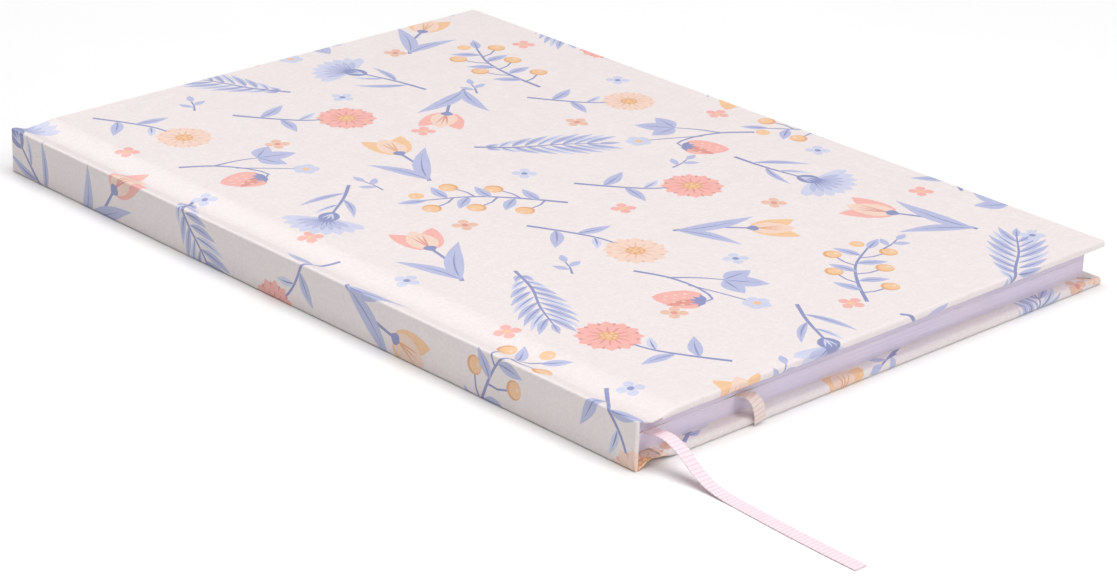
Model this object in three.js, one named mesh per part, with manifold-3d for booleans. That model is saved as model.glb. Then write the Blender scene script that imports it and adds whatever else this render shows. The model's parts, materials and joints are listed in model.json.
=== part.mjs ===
import * as THREE from "three";
import ManifoldModule from "manifold-3d";

// A5 hard-cover notebook, closed, lying on its back cover.
// Millimetres. X runs from the spine to the fore-edge, Y from foot to head and Z up from the table.
const wasm = await ManifoldModule();
wasm.setup();
const { Manifold, CrossSection } = wasm;

// Covers
const coverWidth = 152.9; // from the spine's outer face to the fore-edge
const coverHeight = 216.6;
const coverCloth = 0.25;
const coverBoard = 1.8;
const endpaper = 0.15;
const turnIn = 15; // how far the cloth is folded in over the boards
const mitreSlit = 0.3; // between the two turn-ins that meet at a corner
const coverRound = 0.8; // outer edges of a cover
const lipRound = 1; // edges of a cover on the side of the leaves
const boardBevel = 0.35;
const lipBevel = 0.45; // the board's bevel on the side of the leaves
const bevelPlay = 0.1; // how much more a board is bevelled than its pocket
const edgeSteps = 4; // facets of a quarter turn
const overshoot = 1; // how far a cutting solid reaches past what it cuts

// Spine
const spineBoard = 0.5;
const spineRound = 0.7; // long edges of the spine
const spineEndRound = 0.45; // its edges at the head and the foot
const spineBevel = 0.3;
const foldPlay = 0.1; // between the spine's turn-ins and those of the joints

// Joints between the spine and the covers
const grooveWidth = 6.65;
const frontGrooveDepth = 1;
const backGrooveDepth = 1.5;
const grooveLowPoint = 0.6; // share of the groove's width
const grooveSlope = 5.6; // how far the slope of a groove runs on over its board
const grooveSteps = 12;
const slopeSteps = 8;

// Leaves
const square = 3.3; // how far the covers stand out past the leaves
const sectionThickness = 0.77;
const lowerSections = 5;
const upperSections = 3;
const ribbonSlot = 0.35; // between the two sections that hold the ribbons
const foldSteps = 6;

// Spine glue layers, between the spine's board and the folds of the sections
const hollow = 0.3;
const spineLining = 0.1;
const mullThickness = 0.15;
const glueGap = 0.05;
const liningInset = 16; // how much shorter than the covers they are at each end

// Ribbons
const ribbonWidth = 3.4;
const ribbonThickness = 0.28;
const tailGap = 0.3; // between a ribbon's inside run and its free tail
const pinkAtHead = 3.4; // from the spine's outer face to the middle of each ribbon at the head
const creamAtHead = 7.3;
const ribbonStep = 1; // spacing of the rings along a tail

// Worked out from the sizes above
const coverThickness = coverCloth + coverBoard + endpaper;
const boardFace = coverThickness - endpaper;
const blockThickness = (lowerSections + upperSections) * sectionThickness + ribbonSlot + 2 * endpaper;
const thickness = 2 * coverThickness + blockThickness;
const spineThickness = coverCloth + spineBoard;
const boardStart = spineThickness + grooveWidth;
const grooveBottom = spineThickness + grooveLowPoint * grooveWidth;
const grooveEnd = boardStart + grooveSlope;
const liningStart = spineThickness + hollow;
const mullStart = liningStart + spineLining;
const leafStart = mullStart + mullThickness + glueGap;
const leafEnd = coverWidth - square;
const leafHeight = coverHeight - 2 * square;
const slotBottom = coverThickness + endpaper + lowerSections * sectionThickness;
const slotTop = slotBottom + ribbonSlot;
const slotMiddle = (slotBottom + slotTop) / 2;

const coverColour = 0xf4efea;
const boardColour = 0xb9b0a4;
const paperColour = 0xf3eef0;
const mullColour = 0xe6e1d6;
const pinkColour = 0xf3c3cf;
const creamColour = 0xe9dccb;

const notebook = new THREE.Group();

// Adds a solid as a named mesh, moved so that X is 0 at the middle of the cover.
function addSolid(name, solid, colour, roughness) {
  const { numProp, vertProperties, triVerts } = solid.getMesh();
  const geometry = new THREE.BufferGeometry();
  const places = new Float32Array((vertProperties.length / numProp) * 3);
  for (let i = 0; i < places.length / 3; i += 1) {
    for (let k = 0; k < 3; k += 1) places[3 * i + k] = vertProperties[numProp * i + k];
  }
  geometry.setAttribute("position", new THREE.BufferAttribute(places, 3));
  geometry.setIndex(new THREE.BufferAttribute(new Uint32Array(triVerts), 1));
  geometry.computeVertexNormals();
  const material = new THREE.MeshStandardMaterial({ color: colour, roughness, metalness: 0 });
  const mesh = new THREE.Mesh(geometry, material);
  mesh.name = name;
  mesh.position.x = -coverWidth / 2;
  notebook.add(mesh);
}

// A box given by its lowest and highest corners.
function slab([x0, y0, z0], [x1, y1, z1]) {
  return Manifold.cube([x1 - x0, y1 - y0, z1 - z0]).translate([x0, y0, z0]);
}

// A box along Y, centred on the middle of the book.
function strip(x0, x1, z0, z1, length) {
  return slab([x0, -length / 2, z0], [x1, length / 2, z1]);
}

// An outline drawn in X and Z, stretched along Y.
function alongY(points, length) {
  const outline = new CrossSection([points], "Positive");
  return outline.extrude(length, 0, 0, [1, 1], true).rotate([90, 0, 0]);
}

// A rectangle whose four corners are rounded by their own radii, from the lower left round.
function roundedOutline(a0, a1, b0, b1, radii, steps) {
  const corners = [
    [a0 + radii[0], b0 + radii[0], 180],
    [a1 - radii[1], b0 + radii[1], 270],
    [a1 - radii[2], b1 - radii[2], 0],
    [a0 + radii[3], b1 - radii[3], 90],
  ];
  return corners.flatMap(([a, b, start], i) => {
    if (radii[i] === 0) return [[a, b]];
    return Array.from({ length: steps + 1 }, (_, k) => {
      const angle = ((start + (90 * k) / steps) * Math.PI) / 180;
      return [a + radii[i] * Math.cos(angle), b + radii[i] * Math.sin(angle)];
    });
  });
}

// How far a cover's outer face is pressed in beside the spine, at a distance from its outer face.
function grooveDip(x, depth) {
  if (x > grooveEnd) return 0;
  const [top, bottom] = x < grooveBottom ? [spineThickness, grooveBottom] : [grooveEnd, grooveBottom];
  return (depth * (1 - Math.cos((Math.PI * (x - top)) / (bottom - top)))) / 2;
}

// A cover without its turn-ins, or the space inside its cloth, as one outline seen along Y
// and another seen along X. Its outer face slopes down to the groove.
function coverBlock(depth, inset, outer, lip, steps) {
  const start = boardStart + inset;
  const slope = Array.from({ length: slopeSteps }, (_, i) => {
    const x = start + (i / slopeSteps) * (grooveEnd - start);
    return [x, inset + grooveDip(x, depth)];
  });
  const [, ...edge] = roundedOutline(
    start,
    coverWidth - inset,
    inset,
    boardFace - inset,
    [0, outer, lip, 0],
    steps,
  );
  const half = coverHeight / 2 - inset;
  const side = alongY([...slope, [grooveEnd, inset], ...edge], 2 * half);
  const rounds = [outer, outer, lip, lip];
  const ends = roundedOutline(-half, half, inset, boardFace - inset, rounds, steps);
  // Turning an outline drawn in Y and Z so that it runs along X
  const across = new CrossSection([ends], "Positive").extrude(coverWidth).rotate([90, 0, 90]);
  return side.intersect(across);
}

// The space for a board inside its cloth. With play it is the board's own shape.
function boardSpace(depth, play) {
  return coverBlock(depth, coverCloth, boardBevel + play, lipBevel + play, 1);
}

// The middle of a board, which is not covered by the turn-ins. It starts inside the board's space.
function turnInWindow(top) {
  const low = [boardStart + coverCloth, -coverHeight / 2 + turnIn, boardFace - 2 * coverCloth];
  return slab(low, [coverWidth - turnIn, coverHeight / 2 - turnIn, top]);
}

// A cover's cloth: a skin with rounded edges, folded in on three sides with mitred corners.
function coverWrap(depth) {
  const skin = coverBlock(depth, 0, coverRound, lipRound, edgeSteps);
  const hollowed = skin.subtract(boardSpace(depth, 0)).subtract(turnInWindow(boardFace + overshoot));
  return hollowed.subtract(mitreCut(1)).subtract(mitreCut(-1));
}

// The slit between two turn-ins at the head (side 1) or the foot (side -1).
// It runs from the window's corner almost to the cover's corner.
function mitreCut(side) {
  const slitLength = Math.SQRT2 * (turnIn - square / 2);
  const slit = Manifold.cube([slitLength, mitreSlit, overshoot]).translate([0, -mitreSlit / 2, 0]);
  const corner = [coverWidth - turnIn, side * (coverHeight / 2 - turnIn), boardFace - 2 * coverCloth];
  return slit.rotate([0, 0, side * 45]).translate(corner);
}

function coverBoardSolid(depth) {
  return boardSpace(depth, bevelPlay).add(turnInWindow(boardFace));
}

// Turns a piece of the back cover over into the same piece of the front cover.
function toFront(solid) {
  return solid.rotate([180, 0, 0]).translate([0, 0, thickness]);
}

function addCovers() {
  addSolid("back_cover_wrap", coverWrap(backGrooveDepth), coverColour, 0.5);
  addSolid("back_board", coverBoardSolid(backGrooveDepth), boardColour, 0.9);
  addSolid("front_cover_wrap", toFront(coverWrap(frontGrooveDepth)), coverColour, 0.5);
  addSolid("front_board", toFront(coverBoardSolid(frontGrooveDepth)), boardColour, 0.9);
}

// The spine's cloth: a channel round its board, folded in at the head and the foot.
function spineWrap() {
  const inner = spineThickness + coverCloth;
  const skin = alongY(
    roundedOutline(0, inner, 0, thickness, [spineRound, 0, 0, spineRound], edgeSteps),
    coverHeight,
  );
  const half = coverHeight / 2;
  const rounds = [spineEndRound, 0, 0, spineEndRound];
  const outline = roundedOutline(0, inner, -half, half, rounds, edgeSteps);
  const ends = new CrossSection([outline], "Positive").extrude(thickness);
  const past = inner + overshoot;
  const jointFold = 2 * coverCloth + foldPlay;
  const top = thickness + overshoot;
  const between = strip(spineThickness, past, -overshoot, top, coverHeight - 2 * turnIn);
  const overTop = strip(spineThickness, past, thickness - jointFold, top, coverHeight);
  const underBottom = strip(spineThickness, past, -overshoot, jointFold, coverHeight);
  return skin
    .intersect(ends)
    .subtract(spineSpace(0))
    .subtract(between)
    .subtract(overTop)
    .subtract(underBottom);
}

// The space for the spine's board. With play it is the board's own shape.
function spineSpace(play) {
  const bevel = spineBevel + play;
  return alongY(
    roundedOutline(coverCloth, spineThickness, coverCloth, thickness - coverCloth, [bevel, 0, 0, bevel], 1),
    coverHeight - 2 * coverCloth,
  );
}

function addSpine() {
  addSolid("spine_wrap", spineWrap(), coverColour, 0.5);
  addSolid("spine_board", spineSpace(bevelPlay), boardColour, 0.9);
}

// A layer of cloth in the back groove, between two heights above the groove's outer face.
function grooveLayer(depth, low, high, length) {
  const places = Array.from({ length: grooveSteps + 1 }, (_, i) => {
    const x = spineThickness + (i / grooveSteps) * grooveWidth;
    return [x, grooveDip(x, depth)];
  });
  const under = places.map(([x, dip]) => [x, dip + low]);
  const over = places.map(([x, dip]) => [x, dip + high]).reverse();
  return alongY([...under, ...over], length);
}

// The cloth of one joint, doubled by its turn-ins at the head and the foot.
function jointCloth(depth) {
  const fold = grooveLayer(depth, coverCloth, 2 * coverCloth, turnIn);
  const toEnd = (coverHeight - turnIn) / 2;
  return grooveLayer(depth, 0, coverCloth, coverHeight)
    .add(fold.translate([0, toEnd, 0]))
    .add(fold.translate([0, -toEnd, 0]));
}

function addJoints() {
  addSolid("back_joint_cloth", jointCloth(backGrooveDepth), coverColour, 0.5);
  addSolid("front_joint_cloth", toFront(jointCloth(frontGrooveDepth)), coverColour, 0.5);
}

// The folded endpapers: one leaf of each is glued to its board and the other is free.
function addEndpapers() {
  const sheet = (z0) => strip(leafStart, leafEnd, z0, z0 + endpaper, leafHeight);
  const glued = sheet(boardFace);
  const free = sheet(coverThickness);
  addSolid("back_pastedown", glued, paperColour, 0.85);
  addSolid("back_flyleaf", free, paperColour, 0.85);
  addSolid("front_pastedown", toFront(glued), paperColour, 0.85);
  addSolid("front_flyleaf", toFront(free), paperColour, 0.85);
}

// One sewn section of leaves, whose fold at the spine is half round.
function section(bottom) {
  const fold = sectionThickness / 2;
  const outline = roundedOutline(
    leafStart,
    leafEnd,
    bottom,
    bottom + sectionThickness,
    [fold, 0, 0, fold],
    foldSteps,
  );
  return alongY(outline, leafHeight);
}

function addSections() {
  for (let i = 0; i < lowerSections; i += 1) {
    const bottom = coverThickness + endpaper + i * sectionThickness;
    addSolid(`lower_section_${i + 1}`, section(bottom), paperColour, 0.85);
  }
  for (let i = 0; i < upperSections; i += 1) {
    addSolid(`upper_section_${i + 1}`, section(slotTop + i * sectionThickness), paperColour, 0.85);
  }
}

// The paper and the open cloth that are glued over the folds, behind the spine's board.
function addSpineLayers() {
  const length = coverHeight - 2 * liningInset;
  const lining = strip(liningStart, mullStart, coverThickness, thickness - coverThickness, length);
  addSolid("spine_lining", lining, paperColour, 0.9);
  const low = boardFace - mullThickness;
  const outside = strip(mullStart, boardStart, low, thickness - low, length);
  const inside = strip(
    mullStart + mullThickness,
    boardStart + overshoot,
    boardFace,
    thickness - boardFace,
    length + overshoot,
  );
  addSolid("mull", outside.subtract(inside), mullColour, 0.95);
}

// A flat ribbon along a smooth route, which starts and ends with a square cut.
function ribbonAlong(route) {
  const points = route.map((place) => new THREE.Vector3(...place));
  const curve = new THREE.CatmullRomCurve3(points, false, "centripetal");
  const rings = Math.round(curve.getLength() / ribbonStep);
  const places = [];
  for (let i = 0; i <= rings; i += 1) {
    const centre = curve.getPointAt(i / rings);
    const forward = curve.getTangentAt(i / rings);
    const across = new THREE.Vector3(1, 0, 0).addScaledVector(forward, -forward.x).normalize();
    const up = new THREE.Vector3().crossVectors(across, forward);
    for (const [a, b] of [[-1, -1], [1, -1], [1, 1], [-1, 1]]) {
      const corner = centre.clone().addScaledVector(across, (a * ribbonWidth) / 2);
      corner.addScaledVector(up, (-b * ribbonThickness) / 2);
      places.push(...corner.toArray());
    }
  }
  return new Manifold(new wasm.Mesh({ numProp: 3, ...ribbonFaces(places, rings) }));
}

// The faces of a ribbon made of rings of four corners.
function ribbonFaces(places, rings) {
  const faces = [[0, 2, 1], [0, 3, 2]];
  for (let i = 0; i < rings; i += 1) {
    for (let k = 0; k < 4; k += 1) {
      const [a, b] = [4 * i + k, 4 * i + ((k + 1) % 4)];
      faces.push([a, b, b + 4], [a, b + 4, a + 4]);
    }
  }
  const last = 4 * rings;
  faces.push([last, last + 1, last + 2], [last, last + 2, last + 3]);
  return { vertProperties: new Float32Array(places), triVerts: new Uint32Array(faces.flat()) };
}

// Where the free tails run: X from the spine's outer face, Y from the foot of the leaves
// and Z from the middle of the slot that they leave.
const pinkRoute = [
  [6.9, -1.3, 0.05],
  [6.8, -2.9, 0.25],
  [6.7, -4.6, 0.5],
  [6.6, -6.4, 0.4],
  [6.5, -8.2, -0.1],
  [6.4, -10.1, -0.9],
  [6.3, -12, -2],
  [6.2, -14.1, -3.3],
  [6.1, -16.5, -4.5],
  [6, -19.4, -5.45],
  [5.9, -22.6, -5.98],
  [5.75, -26, -6.19],
  [5.5, -30, -6.19],
  [5.1, -36, -6.19],
  [4.75, -42, -6.19],
  [4.5, -48, -6.19],
  [4.3, -54, -6.19],
  [4.2, -60, -6.19],
];
const creamRoute = [
  [34, -0.8, 0.05],
  [34.3, -1.7, 0.2],
  [34.7, -2.6, 0],
  [35, -3.3, -0.7],
  [35.3, -3.8, -1.7],
  [35.6, -4, -2.9],
  [35.9, -4.05, -4.3],
  [36.1, -3.95, -5.7],
];

// A ribbon: its slanting run between two sections, and its free tail below the foot.
function addRibbon(name, atHead, route, colour) {
  const foot = -leafHeight / 2;
  const half = ribbonWidth / 2;
  const [x] = route[0];
  const outline = [
    [x - half, foot],
    [x + half, foot],
    [atHead + half, -foot],
    [atHead - half, -foot],
  ];
  const run = new CrossSection([outline], "Positive").extrude(ribbonThickness);
  const low = slotMiddle - ribbonThickness / 2;
  addSolid(`${name}_ribbon_run`, run.translate([0, 0, low]), colour, 0.7);
  const start = [x, foot - tailGap, slotMiddle];
  const places = route.map(([px, py, pz]) => [px, foot + py, slotMiddle + pz]);
  addSolid(`${name}_ribbon_tail`, ribbonAlong([start, ...places]), colour, 0.7);
}

addCovers();
addSpine();
addJoints();
addEndpapers();
addSections();
addSpineLayers();
addRibbon("pink", pinkAtHead, pinkRoute, pinkColour);
addRibbon("cream", creamAtHead, creamRoute, creamColour);

export default notebook;
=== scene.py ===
import bisect
import json
import math
import random

import bpy
from mathutils import Matrix, Vector
from mathutils.geometry import delaunay_2d_cdt


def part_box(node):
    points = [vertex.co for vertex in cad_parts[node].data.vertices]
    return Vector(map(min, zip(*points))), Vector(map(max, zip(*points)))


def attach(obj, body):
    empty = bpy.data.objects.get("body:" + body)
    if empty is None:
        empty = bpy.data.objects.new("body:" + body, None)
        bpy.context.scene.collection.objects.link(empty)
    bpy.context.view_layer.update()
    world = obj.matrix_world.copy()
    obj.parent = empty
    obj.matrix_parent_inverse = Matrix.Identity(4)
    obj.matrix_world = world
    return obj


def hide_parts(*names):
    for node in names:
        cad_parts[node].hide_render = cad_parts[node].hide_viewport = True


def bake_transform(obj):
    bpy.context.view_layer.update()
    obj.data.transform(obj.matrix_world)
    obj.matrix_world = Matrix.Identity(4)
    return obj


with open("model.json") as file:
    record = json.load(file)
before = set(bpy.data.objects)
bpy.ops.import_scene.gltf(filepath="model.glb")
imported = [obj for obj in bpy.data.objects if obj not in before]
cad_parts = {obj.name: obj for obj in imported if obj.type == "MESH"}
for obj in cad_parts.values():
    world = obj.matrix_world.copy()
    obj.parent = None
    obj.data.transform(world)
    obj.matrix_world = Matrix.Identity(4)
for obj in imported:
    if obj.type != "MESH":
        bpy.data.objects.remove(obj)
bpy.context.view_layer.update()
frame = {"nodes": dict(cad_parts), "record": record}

# An A5 hard-cover notebook with a printed cloth case, lying closed on its back cover.
# Lengths in this script are millimetres, apart from the lamps', and add_mesh makes them metres.
MM = 0.001
SMALL = 1e-6


def node_box(name):
    """The lowest and highest corners of a CAD node."""
    low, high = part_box(name)
    return low / MM, high / MM


# Places that follow the CAD nodes
cover_low, cover_high = node_box("front_cover_wrap")
spine_low, spine_high = node_box("spine_wrap")
joint_low, _ = node_box("front_joint_cloth")
block_low, _ = node_box("upper_section_1")
_, lower_high = node_box("lower_section_5")
TOP = cover_high.z
HALF_HEIGHT = cover_high.y
FORE_EDGE = cover_high.x
BOARD_START = cover_low.x
BOARD_FACE = TOP - cover_low.z
SPINE_FACE = spine_low.x
SPINE_INNER = spine_high.x
JOINT_START = joint_low.x
LEAF_FOOT = block_low.y
SLOT_BOTTOM = lower_high.z
SLOT_TOP = block_low.z
SLOT_MIDDLE = (SLOT_BOTTOM + SLOT_TOP) / 2

# Cloth
CLOTH = 0.2
TURN_IN = 15
COVER_ROUND = 0.8
LIP_ROUND = 1.0
CORNER_ROUND = 0.75
SPINE_ROUND = 0.65
FOLD_ROUND = 0.25
SEAM_SHIFT = 1.8
SLIT_OPENING = 0.45
# A cut edge that runs further than this both across and along is a mitre's edge, painted dark as the shadow
# in its slit.
SHADED_CUT_REACH = 1.0
JOINT_FOLD = 0.6
HINGE_INSET = 1.2 * CLOTH
GROOVE_DEPTHS = {"front": 1.0, "back": 1.5}
GROOVE_LOW_SHARE = 0.6
GROOVE_RISE = 5.6
GROOVE_LOW_POINT = JOINT_START + GROOVE_LOW_SHARE * (BOARD_START - JOINT_START)
GROOVE_END = BOARD_START + GROOVE_RISE
GROOVE_STEPS = 20
SLOPE_STEPS = 10
QUARTER_STEPS = 6

# Ribbons
RIBBON_WIDTH = 3.4
RIBBON_THICKNESS = 0.28
RIB_PITCH = 1.05
VALLEY = 0.15
RIB_PROFILE = ((0, 0.7), (VALLEY, 0.96), (0.5, 1), (1 - VALLEY, 0.96))
NARROWING = 0.12
SEAM_INSIDE = 0.6
STRAIGHT_OUTSIDE = 0.3

# Papers and mull
RULE_PITCH = 7
RULE_WIDTH = 0.16
RULED_REACH = 92
MULL_PITCH = 0.7
MULL_THICKNESS = 0.15

# Camera, fitted to the corners of the cover and the leaves in the photograph
LENS = 102.457
CAMERA_AIM = Vector((-33.4, -40.74, 5.6)) * MM
CAMERA_DISTANCE = 708.17 * MM
CAMERA_AZIMUTH = math.radians(-44.465)
CAMERA_ELEVATION = math.radians(23.061)
CAMERA_ROLL = math.radians(2.058)


def add_camera():
    turn = Matrix.Rotation(CAMERA_AZIMUTH, 4, "Z")
    turn @= Matrix.Rotation(math.pi / 2 - CAMERA_ELEVATION, 4, "X")
    turn @= Matrix.Rotation(CAMERA_ROLL, 4, "Z")
    back = turn @ Vector((0, 0, CAMERA_DISTANCE))
    data = bpy.data.cameras.new("camera")
    data.lens = LENS
    data.clip_start = 0.01
    camera = bpy.data.objects.new("camera", data)
    camera.matrix_world = Matrix.Translation(CAMERA_AIM + back) @ turn
    bpy.context.scene.collection.objects.link(camera)
    bpy.context.scene.camera = camera


def colour(*values):
    """A colour written as in an image, as the linear values that a shader takes."""
    shares = [value / 255 for value in values]
    linear = [s / 12.92 if s <= 0.04045 else ((s + 0.055) / 1.055) ** 2.4 for s in shares]
    return (*linear, 1)


def add_mesh(name, points, faces, materials, face_materials=None, corner_normals=None):
    mesh = bpy.data.meshes.new(name)
    mesh.from_pydata([Vector(p) * MM for p in points], [], faces)
    for material in materials:
        mesh.materials.append(material)
    if face_materials:
        mesh.polygons.foreach_set("material_index", face_materials)
    if corner_normals:
        mesh.polygons.foreach_set("use_smooth", [True] * len(faces))
        mesh.normals_split_custom_set(corner_normals)
    mesh.update()
    piece = bpy.data.objects.new(name, mesh)
    bpy.context.scene.collection.objects.link(piece)
    return piece


# Materials


class Nodes:
    """A material's node tree, with short calls to add and join nodes."""

    def __init__(self, name):
        self.material = bpy.data.materials.new(name)
        self.material.use_nodes = True
        self.tree = self.material.node_tree
        self.shader = self.tree.nodes["Principled BSDF"]
        self.place = self.tree.nodes.new("ShaderNodeTexCoord").outputs["Object"]

    def add(self, kind, inputs=None, **settings):
        node = self.tree.nodes.new("ShaderNode" + kind)
        for key, value in settings.items():
            setattr(node, key, value)
        for key, value in (inputs or {}).items():
            self.put(node.inputs[key], value)
        return node

    def put(self, socket, value):
        if isinstance(value, bpy.types.NodeSocket):
            self.tree.links.new(value, socket)
        else:
            socket.default_value = value

    def set(self, **inputs):
        """Sets inputs of the shader and gives the material."""
        for key, value in inputs.items():
            self.put(self.shader.inputs[key.replace("_", " ")], value)
        return self.material

    def noise(self, size, detail, stretch=(1, 1, 1)):
        """Noise whose lumps are about size millimetres across, drawn out by stretch."""
        scale = tuple(1 / (size * MM * s) for s in stretch)
        place = self.add("Mapping", {"Vector": self.place, "Scale": scale}).outputs[0]
        return self.add("TexNoise", {"Vector": place, "Scale": 1.0, "Detail": detail}).outputs["Fac"]

    def cells(self, size):
        """Rounded cells about size millimetres across."""
        inputs = {"Vector": self.place, "Scale": 1 / (size * MM), "Smoothness": 0.6}
        return self.add("TexVoronoi", inputs, feature="SMOOTH_F1").outputs["Distance"]

    def math(self, operation, first, second=0.0):
        return self.add("Math", {0: first, 1: second}, operation=operation).outputs[0]

    def between(self, value, low, high):
        """A value that runs from low to high as another runs from 0.3 to 0.7."""
        limits = {"From Min": 0.3, "From Max": 0.7, "To Min": low, "To Max": high}
        return self.add("MapRange", {"Value": value, **limits}).outputs[0]

    def mix(self, share, first, second):
        """A mix of two colours, which are inputs 6 and 7 of the node, and output 2."""
        return self.add("Mix", {"Factor": share, 6: first, 7: second}, data_type="RGBA").outputs[2]

    def shade(self, value, tone, share):
        """A tone that darkens to a share of itself as a value runs from 0.3 to 0.7."""
        return self.mix(self.between(value, 0, 1), tone, darker(tone, share))

    def bump(self, height, depth, strength):
        """A bump whose height of 0 to 1 stands for depth millimetres."""
        node = self.add("Bump", {"Height": height, "Distance": depth * MM, "Strength": strength})
        self.set(Normal=node.outputs[0])


def darker(value, share):
    return tuple(c * share for c in value[:3]) + (1,)


def cloth_material(name, ink):
    """Satin book cloth with a fine leather grain, in one of the colours of its print. The grain's hollows
    carry painted shade.
    """
    nodes = Nodes(name)
    pebbles = nodes.math("MULTIPLY", nodes.cells(0.8), 0.8)
    fine = nodes.math("MULTIPLY", nodes.noise(0.3, 3), 0.3)
    height = nodes.math("ADD", pebbles, fine)
    clouds = nodes.noise(14, 3)
    patches = nodes.mix(clouds, ink, darker(ink, 0.97))
    # Painted shade: the hollows of the grain are coloured darker, so the grain shows even where the light
    # does not pick it out.
    shaded_hollows = nodes.mix(clouds, darker(ink, 0.91), darker(ink, 0.88))
    nodes.bump(height, 0.13, 0.75)
    return nodes.set(
        Base_Color=nodes.mix(height, shaded_hollows, patches),
        Roughness=nodes.between(nodes.noise(3, 2), 0.36, 0.46),
        Specular_IOR_Level=0.45,
        Coat_Weight=0.15,
        Coat_Roughness=0.3,
    )


def paper_material(name, tone, streak, edge_tone=None):
    """Uncoated paper, whose edges may be tinted."""
    nodes = Nodes(name)
    nodes.bump(nodes.noise(0.5, 4, (3, 1, 1)), 0.02, 0.4)
    face = nodes.shade(nodes.noise(9, 3), tone, streak)
    if edge_tone:
        normal = nodes.add("NewGeometry").outputs["Normal"]
        upright = nodes.add("SeparateXYZ", {"Vector": normal}).outputs["Z"]
        at_edge = nodes.math("LESS_THAN", nodes.math("ABSOLUTE", upright), 0.5)
        face = nodes.mix(at_edge, face, edge_tone)
    return nodes.set(
        Base_Color=face,
        Roughness=nodes.between(nodes.noise(2, 2), 0.78, 0.9),
        Specular_IOR_Level=0.2,
    )


def page_material(name, tone, line):
    """Leaf paper with faint ruled lines, which run along the width of a page."""
    nodes = Nodes(name)
    along = nodes.add("SeparateXYZ", {"Vector": nodes.place}).outputs["Y"]
    above_zero = nodes.math("ADD", along, 1.0)
    row = nodes.math("MODULO", above_zero, RULE_PITCH * MM)
    ruled = nodes.math("LESS_THAN", row, RULE_WIDTH * MM)
    inside = nodes.math("LESS_THAN", nodes.math("ABSOLUTE", along), RULED_REACH * MM)
    base = nodes.shade(nodes.noise(9, 3), tone, 0.975)
    nodes.bump(nodes.noise(0.4, 4), 0.015, 0.4)
    return nodes.set(
        Base_Color=nodes.mix(nodes.math("MULTIPLY", ruled, inside), base, line),
        Roughness=nodes.between(nodes.noise(2, 2), 0.78, 0.9),
        Specular_IOR_Level=0.2,
    )


def edge_material(name, tone):
    """The cut edges of the leaves, with streaks that follow the leaves."""
    nodes = Nodes(name)
    streaks = nodes.noise(0.5, 3, (60, 60, 0.35))
    nodes.bump(streaks, 0.02, 0.5)
    return nodes.set(
        Base_Color=nodes.shade(streaks, tone, 0.9),
        Roughness=nodes.between(nodes.noise(1, 2), 0.72, 0.85),
        Specular_IOR_Level=0.25,
    )


def ribbon_material(name, tone):
    """Grosgrain: fine threads that run across the ribbon, with a soft sheen."""
    nodes = Nodes(name)
    threads = nodes.noise(0.12, 2, (14, 1, 1))
    nodes.bump(threads, 0.02, 0.5)
    return nodes.set(
        Base_Color=nodes.shade(threads, tone, 0.93),
        Roughness=nodes.between(nodes.noise(1.5, 2), 0.45, 0.6),
        Sheen_Weight=0.3,
        Sheen_Roughness=0.4,
    )


def board_material():
    nodes = Nodes("greyboard")
    fibres = nodes.noise(0.6, 5, (3, 3, 0.5))
    tone = colour(178, 168, 156)
    nodes.bump(fibres, 0.06, 0.8)
    return nodes.set(
        Base_Color=nodes.shade(fibres, tone, 0.75),
        Roughness=nodes.between(fibres, 0.85, 0.97),
    )


def mull_material():
    nodes = Nodes("mull")
    split = nodes.add("SeparateXYZ", {"Vector": nodes.place})
    waves = 2 * math.pi / (MULL_PITCH * MM)
    warp = nodes.math("SINE", nodes.math("MULTIPLY", split.outputs["Y"], waves))
    weft = nodes.math("SINE", nodes.math("MULTIPLY", split.outputs["Z"], waves))
    threads = nodes.math("MAXIMUM", warp, weft)
    tone = colour(232, 226, 214)
    nodes.bump(threads, 0.05, 0.8)
    return nodes.set(
        Base_Color=nodes.mix(nodes.between(threads, 1, 0), tone, darker(tone, 0.7)),
        Roughness=nodes.between(nodes.noise(1, 2), 0.85, 0.95),
    )


PRINT_COLOURS = {
    "ground": (243, 233, 233),
    "coral": (249, 186, 178),
    "coral_dark": (228, 158, 150),
    "peach": (248, 217, 201),
    "peach_dark": (240, 196, 176),
    "ochre": (248, 203, 160),
    "ochre_dark": (232, 176, 132),
    "sky": (213, 216, 238),
    "blue": (191, 195, 227),
    "slate": (149, 154, 197),
}
INKS = list(PRINT_COLOURS)
EDGE_TONE = colour(233, 223, 243)
# The last cloth material is a dark brown painted on the mitres' cut edges, as the shadow deep in their slits.
SHADED_CUT_EDGE = len(INKS)
cloth_materials = [cloth_material("cloth_" + ink, colour(*PRINT_COLOURS[ink])) for ink in INKS]
cloth_materials.append(paper_material("cloth_cut_edge_shade", colour(92, 68, 60), 0.85))
page_paper = page_material("page_paper", colour(246, 242, 238), colour(214, 210, 222))
page_edge = edge_material("page_edge", EDGE_TONE)
paste_down = paper_material("pastedown", colour(240, 230, 224), 0.975)
fly_leaf = paper_material("flyleaf", colour(240, 230, 224), 0.975, EDGE_TONE)
lining_paper = paper_material("lining_paper", colour(236, 228, 216), 0.95)
greyboard = board_material()
mull_cloth = mull_material()
# Each ribbon's second material colours the valleys between its ribs darker, as painted shade.
pink_ribbon = [
    ribbon_material("pink_ribbon", colour(251, 230, 237)),
    ribbon_material("pink_ribbon_valley_shade", colour(247, 212, 223)),
]
cream_ribbon = [
    ribbon_material("cream_ribbon", colour(240, 222, 216)),
    ribbon_material("cream_ribbon_valley_shade", colour(229, 206, 198)),
]


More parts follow.
